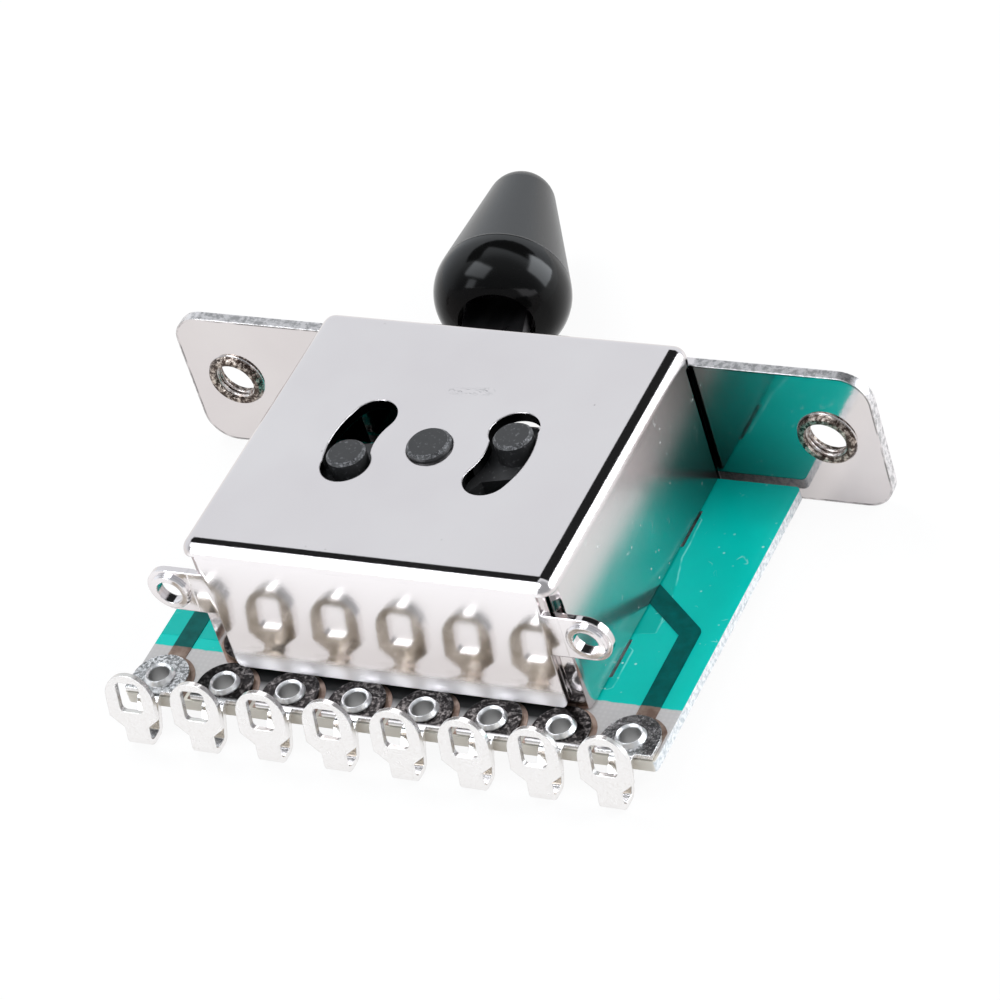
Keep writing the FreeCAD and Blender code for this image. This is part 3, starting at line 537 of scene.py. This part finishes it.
def plated_steel():
    """Bright nickel over stamped steel: faintly clouded and grained, with a few pits and scratches."""
    s = Shader("plated_steel")
    s.soften(0.1)
    sides = s.region(SIDE_WALLS)
    foot = s.region(FRONT_FOOT)
    collar = s.times(s.ring(COLLAR_R + 0.1, 0.06), s.region(COLLARS))
    collar = s.calc("MAXIMUM", collar, s.ring(SCREW_BORE_R + 0.04, 0.02))
    line, cut = plate_outline(s)
    dust = hairs(s, s.region(RIGHT_WALL))
    s.feed("Base Color", steel_tint(s, foot, collar, line, cut, dust))
    s.feed("Metallic", s.between(dust, 1.0, 0.0))
    rough = s.span(s.noise(260.0, 4.0, 0.6), 0.3, 0.75, 0.06, 0.10)
    for place, more in ((sides, 0.14), (foot, 0.34), (cut, 0.25), (collar, 0.25)):
        rough = s.calc("ADD", rough, s.times(place, more))
    s.feed("Roughness", rough)
    lean_walls(s, sides)
    fleck = s.noise(5200.0, 2.0, 0.6)
    scratch = s.span(s.noise(700.0, 1.0, 0.5, 0.0, s.stretch((1.0, 0.02, 1.0), 35)), 0.70, 0.76)
    bend = s.calc("MAXIMUM", s.region(SIDE_BENDS), s.region(FRONT_BEND))
    peel = s.times(s.noise(13000.0, 2.0, 0.7), bend)
    coarse = s.times(s.noise(4200.0, 3.0, 0.7), collar)
    s.bumps((fleck, 0.06, 0.02), (scratch, 0.2, 0.004), (peel, 0.5, 0.02), (coarse, 0.9, 0.08))
    return s.material


def lug_metal():
    """Dipped tin on stamped brass, bright and lumpy, with painted shade on its faces towards the wall, a
    painted dark reflection on the middle lugs' bases, and flux crust on the outer ones.
    """
    s = Shader("lug_metal", Metallic=1.0)
    s.soften(0.07)
    lumps = s.noise(900.0, 3.0, 0.6)
    crust = s.blend(s.span(s.noise(5200.0, 3.0, 0.75), 0.42, 0.60), *FLUX_CRUST)
    # Painted dark reflection: the bases of the middle lugs, under the front wall, made near black.
    dark_base = s.blend(s.span(s.noise(4200.0, 3.0, 0.75), 0.50, 0.66), *LUG_BASE_DARK_REFLECTION)
    tint = s.blend(s.span(s.noise(6500.0, 2.0, 0.7), 0.52, 0.7), *TIN)
    tint = s.blend(s.region(LUG_BASES), tint, s.blend(s.region(MIDDLE_LUGS), crust, dark_base))
    # Painted shade: the faces turned towards the wall get the darker brass colour.
    brass = s.blend(s.span(lumps, 0.35, 0.65), *BRASS_BACK_SHADE)
    s.feed("Base Color", s.blend(s.span(s.facing("y"), 0.08, 0.35), tint, brass))
    s.feed("Roughness", s.span(lumps, 0.3, 0.7, 0.14, 0.30))
    s.bumps((lumps, 0.10, 0.06), (s.noise(7000.0, 2.0, 0.6), 0.10, 0.015))
    return s.material


def rivet_metal():
    """Bright rolled rims, and the bores inside them darker grey and rougher."""
    s = Shader("rivet_metal", Metallic=1.0)
    s.soften(0.1)
    pitch = s.add("ShaderNodeMath", operation="WRAP")
    for k, value in enumerate((s.axis("x"), LUG_PITCH * MM, 0.0)):
        s.link(value, pitch.inputs[k])
    across = s.calc("SUBTRACT", pitch.outputs[0], LUG_PITCH / 2 * MM)
    along = s.calc("SUBTRACT", s.axis("y"), LUG_ROW_Y * MM)
    rim = s.ramp(s.hypot(across, along), RIVET_BORE_R, RIVET_BORE_R + 0.08)
    s.feed("Base Color", s.blend(rim, *RIVET))
    s.feed("Roughness", s.between(rim, 0.5, 0.36))
    s.bumps((s.noise(2500.0, 2.0, 0.6), 0.10, 0.03))
    return s.material


def flux_shadow_and_rim(s):
    """A slightly raised flux film along the foot of the right side wall, painted darker as the wall's
    shadow, and a painted highlight on its raised rim.
    """
    reach = s.calc("ADD", *[s.ramp(s.axis("y"), *ends) for ends in FLUX_SHADOW_REACHES])
    begin, end, *patch = [s.ramp(s.axis(name), nothing, full, smooth=True)
                          for name, nothing, full in (FLUX_SHADOW_FROM, FLUX_SHADOW_END, *FLUX_SHADOW_PATCH)]
    near = s.times(begin, s.calc("MAXIMUM", s.times(reach, end), s.times(*patch, FLUX_SHADOW_PATCH_REACH)))
    edge = s.calc("ADD", s.times(near, MM), SIDE_OUT * MM)
    beyond = s.calc("ADD", s.calc("SUBTRACT", s.axis("x"), edge), s.wander(420.0, 0.5, 0.22))
    there = s.span(near, 0.05, 0.2)
    broken = s.span(s.noise(500.0, 2.0, 0.6), 0.38, 0.55)
    rim = s.times(s.band(beyond, 0.02 * MM, 0.08 * MM), there, broken)
    return s.times(s.ramp(beyond, 0.04, -0.10), there), rim


def masked(s):
    """One where the solder mask covers the board, up to its ragged edge near the lugs."""
    strayed = s.calc("ADD", s.axis("y"), s.wander(1500.0, 0.6, 0.09))
    return s.ramp(strayed, MASK_EDGE_Y - 0.04, MASK_EDGE_Y + 0.04)


def board_laminate():
    """Teal mask over glass laminate, bare along the front margin and on the cut edges."""
    s = Shader("board_laminate", Specular_IOR_Level=0.22)
    upper = s.region(BOARD_UPPER)
    covered = s.times(upper, masked(s))
    weave = s.times(s.wave(900.0, 0.4, "X"), s.wave(900.0, 0.4, "Y"))
    bare = s.blend(s.span(weave, 0.1, 0.7), *LAMINATE)
    bare = s.blend(s.region(BOARD_LIP), bare, LAMINATE_LIP)
    bare = s.blend(s.region(BOARD_BEFORE_WALL), bare, LAMINATE_SHADE)
    edge = s.blend(s.span(s.noise(3200.0, 3.0, 0.7), 0.42, 0.62), *LAMINATE_EDGE)
    # Painted light: the board's front edge, which lies in shade, made pale.
    edge = s.blend(s.region(BOARD_EDGE), edge, LAMINATE_FRONT_PAINTED_LIGHT)
    film, rim = flux_shadow_and_rim(s)
    coat = s.blend(s.span(s.noise(160.0, 3.0, 0.6), 0.3, 0.7), *SOLDER_MASK)
    # Painted shadow and painted highlight: the flux film by the right side wall, and its bright rim.
    coat = s.blend(s.times(film, 0.35), coat, FLUX_FILM_SHADOW)
    coat = s.blend(s.times(rim, 0.55), coat, FLUX_RIM_HIGHLIGHT)
    coat = s.blend(hairs(s, s.span(s.noise(120.0), 0.42, 0.5)), coat, SOLDER_MASK_DUST)
    s.feed("Base Color", s.blend(covered, s.blend(upper, edge, bare), coat))
    s.feed("Roughness", s.between(covered, 0.55, 0.2))
    s.bumps((s.noise(700.0), 0.12, 0.05), (weave, 0.05, 0.01), (s.times(film, covered), 0.3, 0.06))
    return s.material


def etched_copper():
    """Copper, brown where it is bare, and dark teal where the mask covers it inside the housing, darkened as
    painted shade.
    """
    s = Shader("etched_copper", Specular_IOR_Level=0.12)
    covered = masked(s)
    cloud = s.noise(1200.0, 3.0, 0.6)
    bare = s.blend(s.span(cloud, 0.35, 0.7), *COPPER_BARE)
    s.feed("Base Color", s.blend(covered, bare, s.blend(s.span(cloud, 0.3, 0.7), *COPPER_COVERED_SHADE)))
    s.feed("Metallic", s.between(covered, 0.55, 0.0))
    s.feed("Roughness", s.between(covered, 0.42, 0.2))
    s.bumps((s.noise(2500.0, 2.0, 0.6), 0.15, 0.02))
    return s.material


def moulded_plastic(name, grey, rough, speckled):
    """Moulded plastic with a faint grain, pale specks, and speckled painted highlights along its chamfers.
    """
    s = Shader(name, Specular_IOR_Level=0.45)
    specks = s.times(s.span(s.noise(4200.0, 2.0, 0.7), 0.60, 0.74), speckled)
    up = s.facing("z")
    # Painted highlights: pale speckle on the chamfers, which face partly up.
    chamfer = s.times(s.span(up, 0.3, 0.5), s.span(up, 0.97, 0.9))
    chamfer_glints = s.times(chamfer, s.span(s.noise(5200.0, 3.0, 0.8), 0.50, 0.62), speckled * 2)
    scuffs = s.calc("MAXIMUM", specks, chamfer_glints)
    s.feed("Base Color", s.blend(scuffs, rgb(grey, grey, grey * 1.04), PLASTIC_SPECK_AND_GLINT))
    s.feed("Roughness", s.span(s.noise(700.0, 3.0, 0.6), 0.3, 0.7, rough * 0.85, rough * 1.2))
    s.bumps((s.noise(2600.0, 3.0, 0.6), 0.10, 0.02))
    return s.material


def tip_plastic():
    """Black tip: polished around its mouth, duller up its sides, with the mould's parting line between."""
    s = Shader("tip_plastic")
    reach = s.along(LEVER_AXIS, PIVOT)
    side = s.span(reach, TIP_RIDGE_AT - 0.1, TIP_RIDGE_AT + 0.25)
    line = s.band(reach, 0.0, 0.12, TIP_RIDGE_AT + 0.12, smooth=True)
    s.feed("Base Color", s.blend(side, *TIP_BLACK))
    s.feed("Roughness", s.between(side, 0.12, 0.26))
    s.feed("Specular IOR Level", s.span(reach, TIP_START_AT + 0.6, TIP_START_AT + 2.2, 0.10, 0.36))
    s.bumps((line, 0.8, 0.05), (s.noise(1500.0, 3.0, 0.6), 0.05, 0.02))
    return s.material


def plain_metal(name, color, rough):
    """Rolled or drawn metal with a fine lengthwise grain."""
    s = Shader(name, Metallic=1.0)
    grain = s.noise(1500.0, 2.0, 0.6, 0.0, s.stretch((1.0, 0.05, 1.0), 16))
    s.feed("Base Color", s.blend(s.span(grain, 0.3, 0.7), rgb(*color), rgb(*[v * 0.82 for v in color])))
    s.feed("Roughness", s.span(grain, 0.3, 0.7, rough * 0.8, rough * 1.2))
    s.bumps((grain, 0.15, 0.01))
    return s.material


def thread_metal(name):
    """Torn metal of a tapped thread, half plated and half rusty."""
    s = Shader(name, Metallic=1.0)
    mottle = s.noise(2400.0, 3.0, 0.7)
    s.feed("Base Color", s.blend(s.span(mottle, 0.4, 0.62), *TORN_STEEL))
    s.feed("Roughness", s.span(mottle, 0.3, 0.7, 0.3, 0.5))
    s.bumps((mottle, 0.4, 0.04))
    return s.material


dress(plated_steel(), "housing")
dress(board_laminate(), "circuit_board")
dress(etched_copper(), "copper_nets_left", "copper_nets_right")
dress(lug_metal(), *[f"solder_lug_{n + 1}" for n in range(LUG_COUNT)])
dress(rivet_metal(), "lug_rivets")
dress(moulded_plastic("rotor_plastic", grey=0.03, rough=0.42, speckled=0.5), "rotor")
dress(tip_plastic(), "lever_tip")
# The lever blade's steel is painted dark, as painted shade inside the tip's mouth.
dress(plain_metal("blade_steel", color=(0.20, 0.19, 0.20), rough=0.3), "lever")
dress(plain_metal("contact_bronze", color=(0.72, 0.48, 0.28), rough=0.3), "wiper_left", "wiper_right")
dress(plain_metal("spring_steel", color=(0.55, 0.55, 0.57), rough=0.3), "detent_spring")
dress(plain_metal("ball_steel", color=(0.78, 0.78, 0.80), rough=0.1), "detent_ball")
dress(moulded_plastic("detent_plastic", grey=0.62, rough=0.4, speckled=0.0), "detent_block")


# Added pieces

def new_mesh(name, points, faces, material, body):
    """Smooth mesh piece from points in millimetres, riding on a body."""
    mesh = bpy.data.meshes.new(name)
    mesh.from_pydata([Vector(p) * MM for p in points], [], faces)
    mesh.materials.append(material)
    for polygon in mesh.polygons:
        polygon.use_smooth = True
    mesh.update()
    piece = bpy.data.objects.new(name, mesh)
    bpy.context.scene.collection.objects.link(piece)
    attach(piece, body)


def thread_piece(name, x):
    """Helical ridge of the tapped thread in one screw collar."""
    length = SHEET + COLLAR_LENGTH
    count = int(THREAD_STEPS * length / THREAD_PITCH)
    outer = SCREW_BORE_R + 2 * THREAD_MARGIN
    points, faces = [], []
    for i in range(count + 1):
        angle = 2 * math.pi * i / THREAD_STEPS
        y = -THREAD_START - (length - 2 * THREAD_START) * i / count
        fade = min(1.0, i / THREAD_FADE_STEPS, (count - i) / THREAD_FADE_STEPS)
        inner = SCREW_BORE_R + THREAD_MARGIN - THREAD_HEIGHT * fade
        for r, dy in ((outer, THREAD_HALF), (inner, THREAD_CREST_HALF),
                      (inner, -THREAD_CREST_HALF), (outer, -THREAD_HALF)):
            points.append((x + r * math.cos(angle), y + dy, r * math.sin(angle)))
    for i in range(count):
        a, b = 4 * i, 4 * i + 4
        for k in range(4):
            m = (k + 1) % 4
            faces.append((a + k, b + k, b + m, a + m))
    last = 4 * count
    faces.append((3, 2, 1, 0))
    faces.append((last, last + 1, last + 2, last + 3))
    new_mesh(name, points, faces, thread_metal(name + "_metal"), "switch_frame")


def detent_coil():
    """The detent spring's mesh, copied as a piece riding on the lever assembly and standing for its solid,
    which is hidden.
    """
    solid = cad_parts["detent_spring"]
    coil = bpy.data.objects.new("detent_coil", solid.data.copy())
    bpy.context.scene.collection.objects.link(coil)
    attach(coil, "lever_assembly")
    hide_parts("detent_spring")
    places = [LEVER_AXIS.dot(point.co) for point in coil.data.vertices]
    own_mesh(coil)


thread_piece("screw_thread_left", -SCREW_X)
thread_piece("screw_thread_right", SCREW_X)
detent_coil()


# Floor, light and camera

def floor_white():
    """White that the camera and mirrors see glowing, dimmer behind the right ear, but still in shadow."""
    material = bpy.data.materials.new("floor_white")
    material.use_nodes = True
    nodes = Nodes(material.node_tree)
    output = nodes.add("ShaderNodeOutputMaterial")
    diffuse = nodes.add("ShaderNodeBsdfDiffuse")
    diffuse.inputs["Color"].default_value = FLOOR_WHITE
    glow = nodes.add("ShaderNodeEmission")
    glow.inputs["Strength"].default_value = FLOOR_GLOW
    path = nodes.add("ShaderNodeLightPath")
    place = nodes.add("ShaderNodeSeparateXYZ")
    nodes.link(nodes.add("ShaderNodeTexCoord").outputs["Object"], place.inputs[0])
    right = nodes.ramp(place.outputs[0], *SHADE_X, smooth=True)
    behind = nodes.ramp(place.outputs[1], *SHADE_Y, smooth=True)
    shade = nodes.between(nodes.times(right, behind), 1.0, 1.0 - SHADE_DEPTH)
    glossy = nodes.times(path.outputs["Is Glossy Ray"], shade)
    seen = nodes.calc("MAXIMUM", path.outputs["Is Camera Ray"], glossy)
    mix = nodes.add("ShaderNodeMixShader")
    nodes.link(nodes.times(seen, FLOOR_GLOW_SHARE), mix.inputs[0])
    nodes.link(diffuse.outputs[0], mix.inputs[1])
    nodes.link(glow.outputs[0], mix.inputs[2])
    nodes.link(mix.outputs[0], output.inputs["Surface"])
    return material


def make_floor():
    """Plain white floor that the lugs and the plate's lower edge rest on."""
    (y0, z0), (y1, z1) = FLOOR_FRONT, FLOOR_REAR
    slope = (z1 - z0) / (y1 - y0)
    points = []
    for right, back in ((-1, -1), (1, -1), (1, 1), (-1, 1)):
        x, y = right * FLOOR_HALF, back * FLOOR_HALF
        points.append((x, y, z0 + slope * (y - y0)))
    mesh = bpy.data.meshes.new("floor")
    mesh.from_pydata([Vector(p) * MM for p in points], [], [(0, 1, 2, 3)])
    mesh.materials.append(floor_white())
    floor = bpy.data.objects.new("floor", mesh)
    bpy.context.scene.collection.objects.link(floor)


def softbox(nodes, ray, centre, across, reach):
    """Soft-edged rectangle in the world, from its middle's direction, its first side and both half sides."""
    centre = Vector(centre).normalized()
    across = (Vector(across) - centre * centre.dot(Vector(across))).normalized()
    ahead = nodes.dot(ray, centre)
    inside = nodes.span(ahead, *SOFTBOX_AHEAD)
    for axis, half in zip((across, centre.cross(across)), reach):
        offset = nodes.calc("ABSOLUTE", nodes.calc("DIVIDE", nodes.dot(ray, axis), ahead))
        inside = nodes.times(inside, nodes.span(offset, *[half + edge for edge in SOFTBOX_EDGE], 1.0, 0.0))
    return inside


def make_world():
    """White surroundings, dark overhead and in front, with three softboxes that only reflections see."""
    world = bpy.data.worlds.new("studio")
    bpy.context.scene.world = world
    world.use_nodes = True
    nodes = Nodes(world.node_tree)
    ray = nodes.add("ShaderNodeTexCoord").outputs["Generated"]
    path = nodes.add("ShaderNodeLightPath")
    room = nodes.span(nodes.dot(ray, ROOM_FRONT), *ROOM_FRONT_EDGE, 1.0, ROOM_FRONT_LEVEL, smooth=True)
    begin = nodes.span(nodes.dot(ray, (1.0, 0.0, 0.0)), *OVERHEAD_BEGIN_X, *OVERHEAD_BEGIN_Y)
    beyond = nodes.calc("SUBTRACT", nodes.dot(ray, (0.0, 1.0, 0.0)), begin)
    overhead = nodes.span(nodes.dot(ray, OVERHEAD), *OVERHEAD_EDGE, 0.0, OVERHEAD_DEPTH, smooth=True)
    overhead = nodes.times(overhead, nodes.span(beyond, *OVERHEAD_BEGIN_EDGE))
    level = nodes.times(room, nodes.calc("SUBTRACT", 1.0, overhead))
    for box in SOFTBOXES:
        level = nodes.calc("MAXIMUM", level, nodes.times(softbox(nodes, ray, *box), SOFTBOX_LEVEL))
    mirrored = nodes.choose(path.outputs["Is Glossy Ray"], WORLD_LEVEL, level)
    background = nodes.add("ShaderNodeBackground")
    nodes.link(nodes.blend(path.outputs["Is Camera Ray"], SKY, WHITE), background.inputs["Color"])
    nodes.link(nodes.choose(path.outputs["Is Camera Ray"], mirrored, 1.0), background.inputs["Strength"])
    output = nodes.add("ShaderNodeOutputWorld")
    nodes.link(background.outputs[0], output.inputs["Surface"])


def lamp(name, place, size, watts):
    """Rectangular area light, in millimetres, for light and shadow but not for reflections."""
    light = bpy.data.lights.new(name, "AREA")
    light.shape = "RECTANGLE"
    light.size, light.size_y = size[0] * MM, size[1] * MM
    light.energy = watts
    holder = bpy.data.objects.new(name, light)
    bpy.context.scene.collection.objects.link(holder)
    holder.location = Vector(place) * MM
    holder.rotation_euler = (MIDDLE - Vector(place)).to_track_quat("-Z", "Y").to_euler()
    holder.visible_glossy = False


def make_camera():
    """Camera at the photograph's place."""
    data = bpy.data.cameras.new("camera")
    data.sensor_width = SENSOR
    data.lens = FOCAL_PX / PHOTO_PX * SENSOR
    data.clip_start, data.clip_end = [distance * MM for distance in CAMERA_CLIP]
    camera = bpy.data.objects.new("camera", data)
    bpy.context.scene.collection.objects.link(camera)
    axes = Matrix((CAMERA_RIGHT, CAMERA_UP, CAMERA_BACK)).transposed()
    place = MIDDLE + axes @ Vector(CAMERA_OFFSET)
    camera.matrix_world = Matrix.Translation(place * MM) @ axes.to_4x4()
    bpy.context.scene.camera = camera


make_floor()
make_world()
for facts in LAMPS:
    lamp(*facts)
make_camera()
bpy.context.scene.view_settings.view_transform = "Standard"
